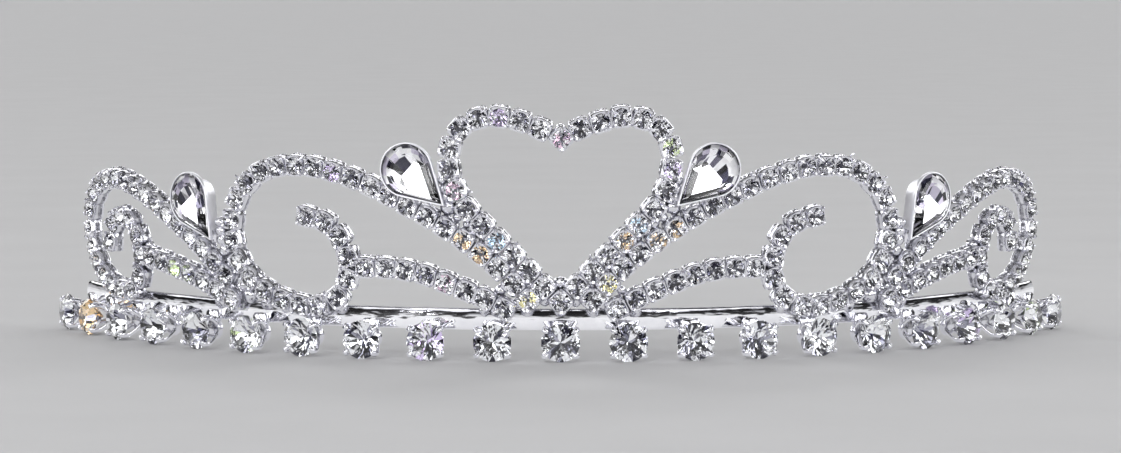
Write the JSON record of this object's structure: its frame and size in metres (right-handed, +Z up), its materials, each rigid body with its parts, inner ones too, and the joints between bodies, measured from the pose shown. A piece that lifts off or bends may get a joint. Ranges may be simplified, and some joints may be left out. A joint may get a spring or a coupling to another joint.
{
  "type": "rhinestone tiara",
  "caption": "Rhinestone tiara on a flat band: a heart between scrolls of cup chain, with pear stones and a row of large round stones below.",
  "frame": {"origin": "middle of the footprint, on the surface that the tiara stands on", "axes": "+Z up, +X to the right seen from the front, the front faces -Y and the open side +Y"},
  "size_m": [0.1452, 0.0534, 0.0341],
  "materials": {
    "metal": "bright rhodium-coloured plating, polished band and fine cast cups",
    "large_stone": "clear cut crystal with a silvered back",
    "pear_stone": "clear step-cut crystal with a silvered back",
    "small_stone": "clear cut crystal with a silvered back"
  },
  "bodies": {
    "root": {"frame": "metal", "base_stone_01": "large_stone", "base_stone_02": "large_stone", "base_stone_03": "large_stone", "base_stone_04": "large_stone", "base_stone_05": "large_stone", "base_stone_06": "large_stone", "base_stone_07": "large_stone", "base_stone_08": "large_stone", "base_stone_09": "large_stone", "base_stone_10": "large_stone", "base_stone_11": "large_stone", "base_stone_12": "large_stone", "base_stone_13": "large_stone", "base_stone_14": "large_stone", "base_stone_15": "large_stone", "base_stone_16": "large_stone", "base_stone_17": "large_stone", "base_stone_18": "large_stone", "base_stone_19": "large_stone", "base_stone_20": "large_stone", "base_stone_21": "large_stone", "pear_front_left": "pear_stone", "pear_front_right": "pear_stone", "pear_outer_left": "pear_stone", "pear_outer_right": "pear_stone", "heart_stones": "small_stone", "front_stones_left": "small_stone", "front_stones_right": "small_stone", "outer_stones_left": "small_stone", "outer_stones_right": "small_stone"}
  },
  "joints": []
}
